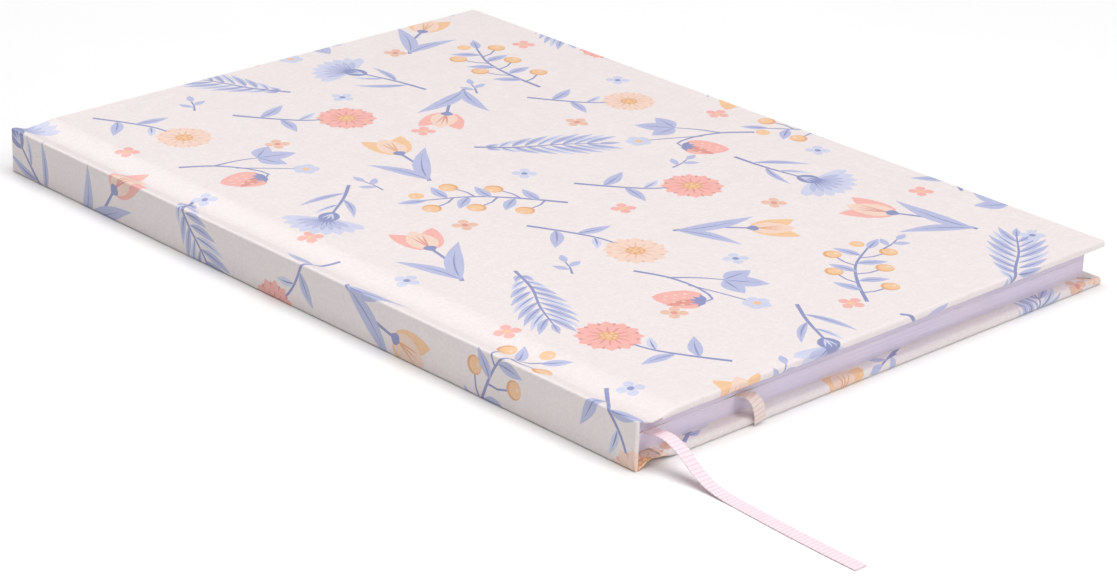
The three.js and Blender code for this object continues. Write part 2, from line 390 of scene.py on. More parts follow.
# The tails' points repeat those of part.mjs: X from the spine's outer face,
# Y from the foot of the leaves and Z from the middle of the slot between the sections.
PINK_ROUTE = [
    (6.9, -1.3, 0.05), (6.8, -2.9, 0.25), (6.7, -4.6, 0.5), (6.6, -6.4, 0.4),
    (6.5, -8.2, -0.1), (6.4, -10.1, -0.9), (6.3, -12, -2), (6.2, -14.1, -3.3),
    (6.1, -16.5, -4.5), (6, -19.4, -5.45), (5.9, -22.6, -5.98), (5.75, -26, -6.19),
    (5.5, -30, -6.19), (5.1, -36, -6.19), (4.75, -42, -6.19), (4.5, -48, -6.19),
    (4.3, -54, -6.19), (4.2, -60, -6.19),
]
CREAM_ROUTE = [
    (34, -0.8, 0.05), (34.3, -1.7, 0.2), (34.7, -2.6, 0), (35, -3.3, -0.7),
    (35.3, -3.8, -1.7), (35.6, -4, -2.9), (35.9, -4.05, -4.3), (36.1, -3.95, -5.7),
]
PINK_AT_FOOT = 6.9
PINK_AT_HEAD = 3.4
CREAM_AT_FOOT = 34
CREAM_AT_HEAD = 7.3
LINE_STEP = 0.25


def between_leaves(at_foot, at_head, y):
    """How far a ribbon's middle lies from the spine's outer face, at a place along the leaves."""
    share = (y - LEAF_FOOT) / (2 * -LEAF_FOOT)
    return at_foot + (at_head - at_foot) * share


def smooth_line(points, step):
    """Points about a step apart on the smooth line through the given ones."""
    centripetal = 0.25
    points = [Vector(p) for p in points]
    padded = [2 * points[0] - points[1], *points, 2 * points[-1] - points[-2]]
    line = []
    for before, start, end, after in zip(padded, padded[1:], padded[2:], padded[3:]):
        gaps = [
            max((q - p).length_squared ** centripetal, SMALL)
            for p, q in ((before, start), (start, end), (end, after))
        ]
        leave = (start - before) / gaps[0] - (end - before) / (gaps[0] + gaps[1])
        leave = (leave + (end - start) / gaps[1]) * gaps[1]
        arrive = (end - start) / gaps[1] - (after - start) / (gaps[1] + gaps[2])
        arrive = (arrive + (after - end) / gaps[2]) * gaps[1]
        count = max(1, round((end - start).length / step))
        for k in range(count):
            t = k / count
            line.append(
                start * (2 * t**3 - 3 * t**2 + 1)
                + leave * (t**3 - 2 * t**2 + t)
                + end * (3 * t**2 - 2 * t**3)
                + arrive * (t**3 - t**2)
            )
    return line + [points[-1]]


def ribbon_mesh(name, line, materials):
    """A grosgrain ribbon whose ribs cross it, as a closed tube with a flat section."""
    reached = [0.0]
    for a, b in zip(line, line[1:]):
        reached.append(reached[-1] + (b - a).length)

    def place(distance):
        i = min(max(bisect.bisect_right(reached, distance) - 1, 0), len(line) - 2)
        share = (distance - reached[i]) / (reached[i + 1] - reached[i])
        return line[i].lerp(line[i + 1], share)

    ribs = round(reached[-1] / RIB_PITCH)
    pitch = reached[-1] / ribs
    rings = [((k + share) * pitch, height) for k in range(ribs) for share, height in RIB_PROFILE]
    rings.append((reached[-1], RIB_PROFILE[0][1]))
    section = [(-1, 0), (-0.97, -0.8), (-0.5, -1), (0.5, -1), (0.97, -0.8)]
    section += [(-a, -b) for a, b in section]
    count = len(section)
    points, faces, kinds = [], [], []
    for distance, height in rings:
        centre = place(distance)
        forward = (place(distance + pitch / 2) - place(distance - pitch / 2)).normalized()
        across = (Vector((1, 0, 0)) - forward * forward.x).normalized()
        up = across.cross(forward)
        for a, b in section:
            reach = RIBBON_WIDTH / 2 * (1 - NARROWING + NARROWING * height) * a
            points.append(centre + across * reach - up * RIBBON_THICKNESS / 2 * height * b)
    for i in range(len(rings) - 1):
        # Painted shade: faces in the valleys between the ribs take the ribbon's darker second material.
        valley = i % len(RIB_PROFILE) in (0, len(RIB_PROFILE) - 1)
        for k in range(count):
            a, b = count * i + k, count * i + (k + 1) % count
            faces.append((a, b, b + count, a + count))
            kinds.append(int(valley))
    faces.append(tuple(reversed(range(count))))
    faces.append(tuple(range(len(points) - count, len(points))))
    return add_mesh(name, points, faces, materials, kinds + [0, 0])


def add_ribbons():
    def spot(x, y, z):
        return Vector((SPINE_FACE + x, LEAF_FOOT + y, SLOT_MIDDLE + z))

    def run(at_foot, at_head):
        """The ends of the straight stretch between the sections, from the head to near the foot."""
        end = spot(between_leaves(at_foot, at_head, LEAF_FOOT + SEAM_INSIDE), SEAM_INSIDE, 0)
        return [spot(at_head, 2 * -LEAF_FOOT, 0), end]

    def tail_line(route):
        x = route[0][0]
        leaving = [spot(x, SEAM_INSIDE, 0), spot(x, -STRAIGHT_OUTSIDE, 0)]
        return smooth_line(leaving + [spot(*p) for p in route], LINE_STEP)

    pink_tail = tail_line(PINK_ROUTE)
    cream_line = run(CREAM_AT_FOOT, CREAM_AT_HEAD)[:1] + tail_line(CREAM_ROUTE)
    tail = ribbon_mesh("pink_ribbon_tail_piece", pink_tail, pink_ribbon)
    inner = ribbon_mesh("pink_ribbon_run_piece", run(PINK_AT_FOOT, PINK_AT_HEAD), pink_ribbon)
    cream = ribbon_mesh("cream_ribbon_piece", cream_line, cream_ribbon)
    for ribbon, slot, *nodes in (
        (tail, "pink_ribbon", "pink_ribbon_tail"),
        (inner, "pink_ribbon", "pink_ribbon_run"),
        (cream, "cream_ribbon", "cream_ribbon_run", "cream_ribbon_tail"),
    ):
        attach(ribbon, "back_cover")
        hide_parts(*nodes)
    declare_ribbon(pink_tail)
    declare_ribbon(cream_line)


def declare_ribbon(line):
    length = sum((b - a).length for a, b in zip(line, line[1:]))


# The print: motifs of flat shapes. A shape is a colour and an outline, drawn growing up from (0, 0).

STALK_STEP = 2.2


def blade(length, width, belly, fullness=1.0, bend=0.0, steps=8):
    """A leaf or petal that is widest at the share belly of its length."""
    power = math.log(0.5) / math.log(belly)
    left = []
    right = []
    for k in range(steps + 1):
        t = k / steps
        half = width / 2 * math.sin(math.pi * t**power) ** fullness if 0 < k < steps else 0.0
        middle = bend * t * t
        left.append((middle - half, t * length))
        right.append((middle + half, t * length))
    return right + left[-2:0:-1]


def stalk(points, start_width, end_width):
    """A thin slate line that narrows along a smooth route."""
    line = smooth_line([(x, y, 0) for x, y in points], STALK_STEP)
    left = []
    right = []
    for i, place in enumerate(line):
        forward = (line[min(i + 1, len(line) - 1)] - line[max(i - 1, 0)]).normalized()
        half = (start_width + (end_width - start_width) * i / (len(line) - 1)) / 2
        left.append((place.x - forward.y * half, place.y + forward.x * half))
        right.append((place.x + forward.y * half, place.y - forward.x * half))
    return [("slate", right + left[::-1])]


def disc(x, y, radius, steps=12):
    turns = [2 * math.pi * k / steps for k in range(steps)]
    return [(x + radius * math.cos(t), y + radius * math.sin(t)) for t in turns]


def moved(outline, angle=0.0, x=0.0, y=0.0, size=1.0):
    """An outline turned by an angle in degrees, to the right of up, and then moved."""
    c = math.cos(math.radians(angle)) * size
    s = math.sin(math.radians(angle)) * size
    return [(x + px * c + py * s, y - px * s + py * c) for px, py in outline]


def petals(ink, count, first, step, x, y, *form, **more):
    """Blades of one form that grow from one place, each turned by a step from the last."""
    return [(ink, moved(blade(*form, **more), first + step * k, x, y)) for k in range(count)]


def petal(ink, angle, x, y, *form, **more):
    return petals(ink, 1, angle, 0, x, y, *form, **more)


def leaf(length, width, angle, x, y, bend=0.0, ink="blue"):
    """A leaf with a midrib."""
    shapes = petal(ink, angle, x, y, length, width, 0.45, bend=bend)
    return shapes + petal("slate", angle, x, y, length * 0.8, 0.42, 0.4, bend=bend * 0.66)


def daisy(petal, line):
    """A round flower with two rings of narrow petals."""
    x, y, count = 0.8, 25, 12
    turn = 360 / count
    shapes = stalk([(2, 0), (0.2, 8), (-0.8, 16), (0.8, 24)], 0.9, 0.5)
    shapes += leaf(9.5, 3, 50, 0.6, 6, 1.6) + leaf(8.5, 2.8, -54, -0.4, 10.5, -1.6)
    shapes += leaf(6, 2, 44, -0.6, 14.5, 1, "sky")
    shapes += petals(line, count, turn / 2, turn, x, y, 6.3, 2.3, 0.62, 0.7)
    shapes += petals(petal, count, 0, turn, x, y, 6.9, 2.5, 0.68, 0.62)
    shapes += petals(line, count, 0, turn, x, y, 4.6, 0.45, 0.6)
    shapes.append(("ochre_dark", disc(x, y, 2.1)))
    shapes += [("ochre", disc(*place, 0.45, steps=6)) for place in disc(x, y, 1.35, steps=7)]
    return shapes + [("ochre", disc(x, y, 0.75, steps=8))]


def tulip(outer, inner, line):
    """A cup of three petals between two long leaves."""
    shapes = stalk([(-1, 0), (0.8, 8), (0.2, 19)], 1.0, 0.7)
    shapes += leaf(20, 4.4, 8, -0.9, 0.6, 5.5) + leaf(15.5, 3.8, -13, -0.9, 0.6, -5.5)
    for side in (-1, 1):
        shapes += petal(outer, side * 14, 0.2, 17.4, 12, 6.2, 0.4, 0.75, bend=side * 2.2)
        shapes += petals(line, 2, side * 24 - 6, 12, 0.2, 18.6, 7.5, 0.4, 0.45)
    shapes += petal(inner, 0, 0.2, 17.4, 11, 6.6, 0.44, 0.8)
    shapes += petals(line, 3, -12, 12, 0.2, 19, 7, 0.42, 0.45)
    return shapes + petal("slate", 0, 0.2, 16.6, 3.2, 3, 0.6, 0.7)


def strawberry():
    """A hanging fruit and a leaf of three lobes on one forked stalk."""
    fruit_turn, x, y = 158, 6.2, 19.6
    shapes = stalk([(0, 0), (-0.8, 8), (1.2, 16), (4.4, 20.4), (6.4, 19.8)], 0.9, 0.5)
    shapes += stalk([(-0.8, 8), (-4, 13), (-6.2, 18.5)], 0.7, 0.4)
    shapes += leaf(8, 4.6, -76, -6, 18, 0.6) + leaf(8, 4.6, 36, -6, 18, -0.6)
    shapes += leaf(9.4, 5.2, -20, -6, 18.2)
    shapes += petal("coral", fruit_turn, x, y, 11, 9.4, 0.34, 0.6, steps=12)
    shapes += petal("coral_dark", fruit_turn - 20, x, y, 8.6, 3, 0.4, 0.8, bend=-1)
    for row, count in enumerate((3, 4, 3, 2)):
        for k in range(count):
            seed = moved(blade(1.1, 0.6, 0.5, steps=4), 0, (k - (count - 1) / 2) * 1.9, 1.9 + 1.9 * row)
            shapes.append(("peach", moved(seed, fruit_turn, x, y)))
    shapes += petals("slate", 5, fruit_turn - 68, 34, x, y, 3.4, 1.3, 0.4)
    shapes += stalk([(0.6, 13), (0.8, 21), (1.4, 29)], 0.5, 0.4)
    shapes += petals("sky", 5, 0, 72, 1.4, 29, 3.2, 2.8, 0.6, 0.6)
    return shapes + [("ochre", disc(1.4, 29, 0.9))]


def berries():
    """A twig with round berries on both sides."""
    shapes = stalk([(-2.4, 0), (0.4, 9), (2, 19), (0.4, 30)], 0.9, 0.45)
    spots = ((-0.7, 4.4, -1), (0.5, 9.4, 1), (1.4, 14.2, -1), (1.9, 18.8, 1), (1.5, 23.4, -1))
    for x, y, side in spots:
        shapes += leaf(7, 2.7, side * -58, x, y + 1.2, side * -1)
        tip_x, tip_y = x + side * 5.6, y + 5
        shapes += stalk([(x, y), (x + side * 2.6, y + 1.4), (tip_x, tip_y)], 0.5, 0.4)
        shapes += [
            ("ochre_dark", disc(tip_x, tip_y, 2.1)),
            ("ochre", disc(tip_x - 0.25, tip_y + 0.25, 1.75)),
            ("peach", disc(tip_x - 0.7, tip_y + 0.7, 0.5, steps=8)),
        ]
    shapes += leaf(6.5, 2.4, -14, 0.4, 29)
    return shapes + [("ochre", disc(3, 31, 1.7)), ("peach", disc(2.6, 31.5, 0.45, steps=8))]


def frond():
    """A fern with slender leaves in pairs."""
    shapes = []
    pairs = 9
    for i in range(pairs):
        y = 3 + 2.9 * i
        length = 10.8 * math.sin(math.pi * (0.24 + 0.66 * (1 - i / pairs)))
        for side in (-1, 1):
            ink = "sky" if i % 3 == 1 else "blue"
            shapes += leaf(length, 2, side * (62 - 3 * i), 0.2, y, side * -1.8, ink)
    shapes += stalk([(0.8, 0), (-0.4, 10), (0.4, 20), (0, 30)], 0.9, 0.35)
    return shapes + leaf(5.5, 1.8, 0, 0, 29)


def fan():
    """A fan-shaped flower with a fringe of petals over a round cup."""
    shapes = stalk([(2, 0), (0.4, 8), (-0.4, 18)], 0.9, 0.6)
    shapes += leaf(12.5, 2.1, 46, 1.1, 5, -3) + leaf(10.5, 2, -48, 0.2, 8.8, 3)
    shapes += leaf(7.5, 1.6, 40, 0, 12, -2, "sky")
    shapes += petals("sky", 9, -68, 17, -0.4, 20, 10.5, 2.7, 0.76, 0.6)
    shapes += petals("blue", 8, -59.5, 17, -0.4, 20.4, 7.4, 1.5, 0.68, 0.8)
    shapes += petals("slate", 7, -46, 92 / 6, -0.4, 20.6, 4.6, 0.4, 0.45)
    shapes += petal("slate", 0, -0.4, 16.6, 6.4, 4.8, 0.5, 0.65)
    return shapes + petals("sky", 3, -22, 22, -0.4, 17.6, 3.8, 0.5, 0.45)


def speck(ink, centre):
    """A small flower of four petals."""
    return petals(ink, 4, 45, 90, 0, 0, 2.8, 2.2, 0.6, 0.7, steps=6) + [(centre, disc(0, 0, 0.7, steps=8))]


def sprig():
    """A twig with three small leaves."""
    shapes = stalk([(0, -3.5), (0.3, 0), (0, 3)], 0.5, 0.35)
    for angle, height in ((-50, -1.5), (50, 0), (0, 2.2)):
        shapes += petal("blue", angle, 0.1, height, 4, 1.7, 0.5, steps=6)
    return shapes


MOTIFS = [
    daisy("coral", "coral_dark"),
    frond(),
    tulip("coral", "peach", "coral_dark"),
    fan(),
    strawberry(),
    daisy("peach", "peach_dark"),
    berries(),
    tulip("ochre", "peach", "ochre_dark"),
]
MOTIF_MIDDLE = 16
FILLERS = [speck("coral", "ochre"), sprig(), speck("sky", "slate"), speck("peach_dark", "coral_dark")]
COLUMN_STEP = 33
ROW_STEP = 34
LEANS = (-58, -24, 18, 52, 128, 160, 205, 236)
FILLER_TURNS = (0, 30, 75)
FILLER_SIZE = 1.15
LARGEST_MOTIF = 1.14
LEAN_SPREAD = 6
MOTIF_SPREAD = 1.5
FILLER_SPREAD = 2
PRINT_SEED = 11
PRINT_PAST_SPINE = 185
PRINT_PAST_END = 20


def scatter_motifs(reach_across, reach_along):
    """The whole print, on the flat sheet: a half-drop pattern of turned motifs with small fillers."""
    chance = random.Random(PRINT_SEED)

    def about(spread):
        return chance.uniform(-spread, spread)

    shapes = []
    columns = math.ceil(reach_across / COLUMN_STEP)
    rows = math.ceil(reach_along / ROW_STEP)
    for i in range(-columns, columns + 1):
        drop = 0.5 * (i % 2)
        for j in range(-rows - 1, rows + 1):
            u = i * COLUMN_STEP + about(MOTIF_SPREAD)
            v = (j + drop) * ROW_STEP + about(MOTIF_SPREAD)
            lean = chance.choice(LEANS) + about(LEAN_SPREAD)
            mirror = chance.choice((-1, 1))
            size = chance.uniform(1.0, LARGEST_MOTIF)
            for ink, outline in MOTIFS[(3 * i + j) % len(MOTIFS)]:
                middled = [(mirror * x, y - MOTIF_MIDDLE) for x, y in outline[::mirror]]
                shapes.append((ink, moved(middled, lean, u, v, size)))
            u += COLUMN_STEP / 2 + about(FILLER_SPREAD)
            v += ROW_STEP / 4 + about(FILLER_SPREAD)
            turn = chance.choice(FILLER_TURNS)
            for ink, outline in FILLERS[(i + 2 * j) % len(FILLERS)]:
                shapes.append((ink, moved(outline, turn, u, v, FILLER_SIZE)))
    return shapes


# Bent lines: the sections that the flat cloth follows


class Line:
    """A line of straight runs and clockwise turns, with its outer side on the left.

    It keeps points, outward normals and distances, and gives a place at any distance."""

    def __init__(self, start, heading):
        self.points = [Vector(start)]
        self.heading = Vector(heading).normalized()
        self.normals = [self.left()]
        self.lengths = [0.0]

    def left(self):
        return Vector((-self.heading.y, self.heading.x))

    def step(self, point, distance):
        self.points.append(point)
        self.normals.append(self.left())
        self.lengths.append(self.lengths[-1] + distance)
        return self

    def go(self, distance):
        return self.step(self.points[-1] + self.heading * distance, distance)

    def turn(self, radius, angle=math.pi / 2):
        count = max(2, round(QUARTER_STEPS * angle / (math.pi / 2)))
        centre = self.points[-1] - self.left() * radius
        for _ in range(count):
            self.heading.rotate(Matrix.Rotation(-angle / count, 2))
            self.step(centre + self.left() * radius, radius * angle / count)
        return self

    def at(self, distance):
        """The point and the normal at a distance along the line."""
        distance = min(max(distance, 0.0), self.lengths[-1])
        i = bisect.bisect_left(self.lengths, distance, 1, len(self.lengths) - 1) - 1
        share = (distance - self.lengths[i]) / (self.lengths[i + 1] - self.lengths[i])
        point = self.points[i].lerp(self.points[i + 1], share)
        return point, self.normals[i].lerp(self.normals[i + 1], share).normalized()


def groove_dip(x, depth):
    """How far the outer face is pressed in beside the spine, at a place across the book."""
    if x >= GROOVE_END:
        return 0.0
    top = JOINT_START if x < GROOVE_LOW_POINT else GROOVE_END
    share = (x - top) / (GROOVE_LOW_POINT - top)
    return depth * (1 - math.cos(math.pi * share)) / 2


def follow_groove(start, end, depth, steps):
    """A line over the outer face of a groove, between two places across the book."""

    def heading(x):
        reach = 1e-3
        drop = groove_dip(x + reach, depth) - groove_dip(x - reach, depth)
        return Vector((2 * reach, -drop)).normalized()

    line = Line((start, TOP - groove_dip(start, depth)), heading(start))
    for k in range(1, steps + 1):
        x = start + (end - start) * k / steps
        place = Vector((x, TOP - groove_dip(x, depth)))
        line.heading = heading(x)
        line.step(place, (place - line.points[-1]).length)
    return line


def around_edge(line):
    """Goes round the outer edge of a board and back over its inner face, as far as the turn-in."""
    line.turn(COVER_ROUND).go(BOARD_FACE - COVER_ROUND - LIP_ROUND)
    return line.turn(LIP_ROUND).go(TURN_IN - LIP_ROUND)


# The cloth, cut flat and then folded round the boards

SHEET_MARGIN = 1
MERGE_DISTANCE = 1e-5
OUTLINE_STEP = 0.01


def cut_sheet(outline, bends, shapes):
    """Cuts a flat sheet along bends and the outlines of the print.

    Returns its places, its triangles and the colour of each triangle."""
    low_u, low_v = (min(p[i] for p in outline) - SHEET_MARGIN for i in (0, 1))
    high_u, high_v = (max(p[i] for p in outline) + SHEET_MARGIN for i in (0, 1))
    places = [Vector(p) for p in outline]
    rings = [list(range(len(outline)))]
    inks = [0]
    edges = []
    for ink, ring in shapes:
        us, vs = zip(*ring)
        if max(us) < low_u or min(us) > high_u or max(vs) < low_v or min(vs) > high_v:
            continue
        rings.append(list(range(len(places), len(places) + len(ring))))
        inks.append(INKS.index(ink))
        places += [Vector(p) for p in ring]
    for direction, value in bends:
        edges.append((len(places), len(places) + 1))
        if direction == "u":
            places += [Vector((value, low_v)), Vector((value, high_v))]
        else:
            places += [Vector((low_u, value)), Vector((high_u, value))]
    found, _, faces, _, _, origins = delaunay_2d_cdt(places, edges, rings, 0, MERGE_DISTANCE)
    kept = [(face, inks[max(origin)]) for face, origin in zip(faces, origins) if 0 in origin]
    used = sorted({i for face, _ in kept for i in face})
    order = {old: new for new, old in enumerate(used)}
    faces = [[order[i] for i in face] for face, _ in kept]
    return [found[i] for i in used], faces, [ink for _, ink in kept]


def border(faces):
    """The edges that only one face has, in the face's direction."""
    edges = {(a, b) for face in faces for a, b in zip(face, face[1:] + face[:1])}
    return [(a, b) for a, b in edges if (b, a) not in edges]


def cloth_piece(name, outline, bends, shapes, fold):
    """A folded sheet of cloth with a printed outer side, a plain inner side and cut edges. The diagonal cut
    edges at the mitres are painted dark brown, as the shadow deep in their slits.

    fold turns a place on the flat sheet, and a depth under its face, into a point and a normal."""
    flat, faces, inks = cut_sheet(outline, bends, shapes)
    following = dict(border(faces))
    ring = [next(iter(following))]
    while following[ring[-1]] != ring[0]:
        ring.append(following[ring[-1]])
    flat_inner, inner_faces, _ = cut_sheet([flat[i] for i in ring], bends, [])
    outer = [fold(place.x, place.y, 0) for place in flat]
    inner = [fold(place.x, place.y, CLOTH) for place in flat_inner]
    points = [point for point, _ in outer + inner]
    normals = [normal for _, normal in outer] + [-normal for _, normal in inner]
    count = len(flat)
    faces += [[count + i for i in reversed(face)] for face in inner_faces]
    inks += [0] * len(inner_faces)
    corners = [normals[i] for face in faces for i in face]
    for k, a in enumerate(ring):
        b = (k + 1) % len(ring)
        quad = [ring[b], a, count + k, count + b]
        side = (points[quad[2]] - points[quad[0]]).cross(points[quad[3]] - points[quad[1]]).normalized()
        cut = flat[ring[b]] - flat[a]
        faces.append(quad)
        # Painted shadow: diagonal cut edges, along the mitres' slits, take the dark brown material.
        inks.append(SHADED_CUT_EDGE if min(abs(cut.x), abs(cut.y)) > SHADED_CUT_REACH else 0)
        corners += [side] * 4
    piece = add_mesh(name, points, faces, cloth_materials, inks, corners)
    return piece


def mirrored(outline):
    """An outline given for positive places along the spine, completed for negative ones."""
    return [(u, -v) for u, v in outline] + outline[::-1]


def both_ways(direction, line):
    """Bends at the places of a line, on both sides of the sheet's middle."""
    return [(direction, sign * d) for d in line.lengths[1:-1] for sign in (1, -1)]


def turned_over(fold):
    """The same fold for the back cover."""

    def back(u, v, deep):
        point, normal = fold(-u, v, deep)
        return Vector((point.x, point.y, TOP - point.z)), Vector((normal.x, normal.y, -normal.z))

    return back


def either_side(side, name, outline, bends, shapes, fold):
    """A piece of the front cover's cloth, or the same piece of the back cover."""
    if side == "front":
        return cloth_piece(name, outline, bends, shapes, fold)
    outline = [(-u, v) for u, v in reversed(outline)]
    bends = [(kind, -value if kind == "u" else value) for kind, value in bends]
    return cloth_piece(name, outline, bends, shapes, turned_over(fold))


def round_corner(place, normal):
    """Moves a place near a square corner of a cover to the corner rounded in plan."""
    p = place.x - (FORE_EDGE - CORNER_ROUND)
    q = abs(place.y) - (HALF_HEIGHT - CORNER_ROUND)
    if p <= 0 or q <= 0:
        return place, normal
    side = math.copysign(1, place.y)
    reach = math.hypot(p, q)
    share = max(p, q) / reach
    x = FORE_EDGE - CORNER_ROUND + p * share
    y = HALF_HEIGHT - CORNER_ROUND + q * share
    level = math.hypot(normal.x, normal.y) / reach
    return Vector((x, side * y, place.z)), Vector((level * p, side * level * q, normal.z))


def seam_from_end(distance):
    """How far a mitred corner's seam is from the cover's end, at a distance from the fore edge."""
    return distance if distance <= LIP_ROUND else max(LIP_ROUND, distance - SEAM_SHIFT)


def cover_edge(across, along, top_end):
    """The edge of a cover's flat cloth in one quarter, from the hinge round the mitre's slit."""
    corner = top_end + COVER_ROUND
    slit_start = LIP_ROUND + SEAM_SHIFT
    edge = [(0, along.lengths[-1]), (corner - TURN_IN - SEAM_SHIFT, along.lengths[-1])]
    edge.append((corner - slit_start - SLIT_OPENING, along.lengths[-2]))
    for d, p in reversed(list(zip(along.lengths, along.points))[1:-1]):
        edge.append((corner - (HALF_HEIGHT - p.x), d))
    for d, p in list(zip(across.lengths, across.points))[:-1]:
        if d > top_end + SMALL:
            edge.append((d, HALF_HEIGHT - (FORE_EDGE - p.x)))
    edge.append((across.lengths[-2] + SEAM_SHIFT, HALF_HEIGHT - LIP_ROUND))
    edge.append((across.lengths[-1], HALF_HEIGHT - TURN_IN + SEAM_SHIFT))
    return edge


def add_cover(side, start, shapes):
    """The cloth of one cover. Its place on the flat sheet begins at the distance start."""
    across = follow_groove(BOARD_START, GROOVE_END, GROOVE_DEPTHS[side], SLOPE_STEPS)
    across.heading = Vector((1, 0))
    across.go(FORE_EDGE - COVER_ROUND - GROOVE_END)
    top_end = across.lengths[-1]
    around_edge(across)
    along = around_edge(Line((0, TOP), (1, 0)).go(HALF_HEIGHT - COVER_ROUND))
    flat_half = along.lengths[1]
    inner_face = TOP - BOARD_FACE

    def over_fore_edge(a, v, deep):
        point, normal = across.at(a)
        point -= normal * deep
        y = min(abs(v), HALF_HEIGHT - seam_from_end(FORE_EDGE - point.x)) if a > top_end else abs(v)
        return Vector((point.x, math.copysign(y, v), point.y)), Vector((normal.x, 0, normal.y))

    def over_end(a, v, deep):
        sign = math.copysign(1, v)
        edge, turned = along.at(abs(v))
        outer, slope = across.at(min(a, top_end))
        height = (edge.y - inner_face) * (outer.y - inner_face) / BOARD_FACE
        place = Vector((outer.x + max(a - top_end, 0), sign * edge.x, inner_face + height))
        up = slope.y * turned.y if turned.y > 0 else turned.y
        normal = Vector((slope.x * max(turned.y, 0), sign * turned.x, up)).normalized()
        place -= normal * deep
        place.x = min(place.x, FORE_EDGE - HALF_HEIGHT + abs(place.y))
        return place, normal

    def fold(u, v, deep):
        a, beyond = u - start, abs(v) - flat_half
        folded = over_fore_edge if beyond <= max(a - top_end, 0) else over_end
        return round_corner(*folded(a, v, deep))

    outline = mirrored([(start + a, v) for a, v in cover_edge(across, along, top_end)])
    bends = [("u", start + d) for d in across.lengths[1:-1]] + both_ways("v", along)
    piece = either_side(side, side + "_cover_cloth", outline, bends, shapes, fold)
    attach(piece, side + "_cover")
    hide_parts(side + "_cover_wrap")
    turns = along.lengths[1:-1]
    ring = [over_end(0, d, HINGE_INSET)[0] for d in turns]
    ring += [over_end(0, -d, HINGE_INSET)[0] for d in reversed(turns)]
    add_hinge_side(side, ring)


def add_hinge_side(side, ring):
    """The cloth that closes a cover at its edge beside the joint. The ring is its outline."""
    if side == "back":
        ring = [Vector((p.x, p.y, TOP - p.z)) for p in reversed(ring)]
    count = len(ring)
    points = ring + [p + Vector((CLOTH, 0, 0)) for p in ring]
    faces = [list(range(count)), list(reversed(range(count, 2 * count)))]
    for k in range(count):
        following = (k + 1) % count
        faces.append([following, k, count + k, count + following])
    piece = add_mesh(side + "_hinge_side_cloth", points, faces, cloth_materials)
    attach(piece, side + "_cover")


def add_joint(side, start, shapes):
    """The cloth of one groove, where a real book bends as it opens; this piece does not bend. Gives its width
    on the flat sheet.
    """
    across = follow_groove(JOINT_START, BOARD_START, GROOVE_DEPTHS[side], GROOVE_STEPS)
    along = Line((0, 0), (1, 0)).go(HALF_HEIGHT - FOLD_ROUND)
    along.turn(FOLD_ROUND, math.pi).go(TURN_IN - FOLD_ROUND)

    def fold(u, v, deep):
        point, slope = across.at(u - start)
        edge, turned = along.at(abs(v))
        sign = math.copysign(1, v)
        place = Vector((point.x, sign * edge.x, point.y + edge.y))
        normal = Vector((slope.x * turned.y, sign * turned.x, slope.y * turned.y)).normalized()
        return place - normal * deep, normal

    end = start + across.lengths[-1]
    outline = mirrored([(start, along.lengths[-1]), (end, along.lengths[-1])])
    bends = [("u", start + d) for d in across.lengths[1:-1]] + both_ways("v", along)
    piece = either_side(side, side + "_joint_piece", outline, bends, shapes, fold)
    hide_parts(side + "_joint_cloth")
    if side == "front":
        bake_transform(piece)
    else:
        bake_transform(piece)
    return across.lengths[-1]


def spine_edge(across, along, wall_end):
    """The edge of the spine's flat cloth in one quarter, from the joint to the turn-in."""
    flat_across, flat_along = across.lengths[1], along.lengths[1]
    edge = []
    for d in reversed(across.lengths):
        if d >= flat_across - SMALL:
            edge.append((d, flat_along + corner_reach(d - flat_across)))
    for d in along.lengths[2:]:
        if d <= wall_end + SMALL:
            edge.append((flat_across + corner_reach(d - flat_along), d))
    edge.append((TOP / 2 - JOINT_FOLD, wall_end + OUTLINE_STEP))
    edge.append((TOP / 2 - JOINT_FOLD, along.lengths[-1]))
    return edge


def add_spine(shapes):
    """The cloth round the spine. It is turned in at the head and the foot."""
    depth = JOINT_START - SPINE_FACE
    middle = TOP / 2
    flat_across = middle - SPINE_ROUND
    across = Line((SPINE_FACE, middle), (0, 1)).go(flat_across).turn(SPINE_ROUND).go(depth - SPINE_ROUND)
    along = Line((0, 0), (1, 0)).go(HALF_HEIGHT - SPINE_ROUND).turn(SPINE_ROUND).go(depth - SPINE_ROUND)
    wall_end = along.lengths[-1]
    along.turn(SPINE_INNER - JOINT_START).go(TURN_IN - SPINE_INNER + JOINT_START)
    flat_along = along.lengths[1]

    def fold(u, v, deep):
        side_u, side_v = math.copysign(1, u), math.copysign(1, v)
        a, b = abs(u), abs(v)
        if a - flat_across >= b - flat_along:
            point, normal = across.at(a)
            point -= normal * deep
            y = min(b, HALF_HEIGHT - TOP + point.y) if a > flat_across else b
            place = Vector((point.x, side_v * y, middle + side_u * (point.y - middle)))
            return place, Vector((normal.x, 0, side_u * normal.y))
        edge, normal = along.at(b)
        edge -= normal * deep
        z = min(a, middle - HALF_HEIGHT + edge.x) if flat_along < b <= wall_end + SMALL else a
        place = Vector((SPINE_FACE - edge.y, side_v * edge.x, middle + side_u * z))
        return place, Vector((-normal.y, side_v * normal.x, 0))

    edge = spine_edge(across, along, wall_end)
    outline = mirrored([(-u, v) for u, v in edge] + edge[::-1])
    bends = both_ways("u", across) + both_ways("v", along)
    piece = cloth_piece("spine_cloth", outline, bends, shapes, fold)
    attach(piece, "spine")
    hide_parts("spine_wrap")


def corner_reach(distance):
    """How far the cloth reaches past a rounded edge, at a distance into the turn over it."""
    return SPINE_ROUND * math.sin(min(distance / SPINE_ROUND, math.pi / 2))


def add_case():
    half_spine = TOP / 2 - SPINE_ROUND + SPINE_ROUND * math.pi / 2 + JOINT_START - SPINE_FACE - SPINE_ROUND
    shapes = scatter_motifs(half_spine + PRINT_PAST_SPINE, HALF_HEIGHT + PRINT_PAST_END)
    add_spine(shapes)
    for side in ("front", "back"):
        width = add_joint(side, half_spine, shapes)
        add_cover(side, half_spine + width, shapes)


# Leaves

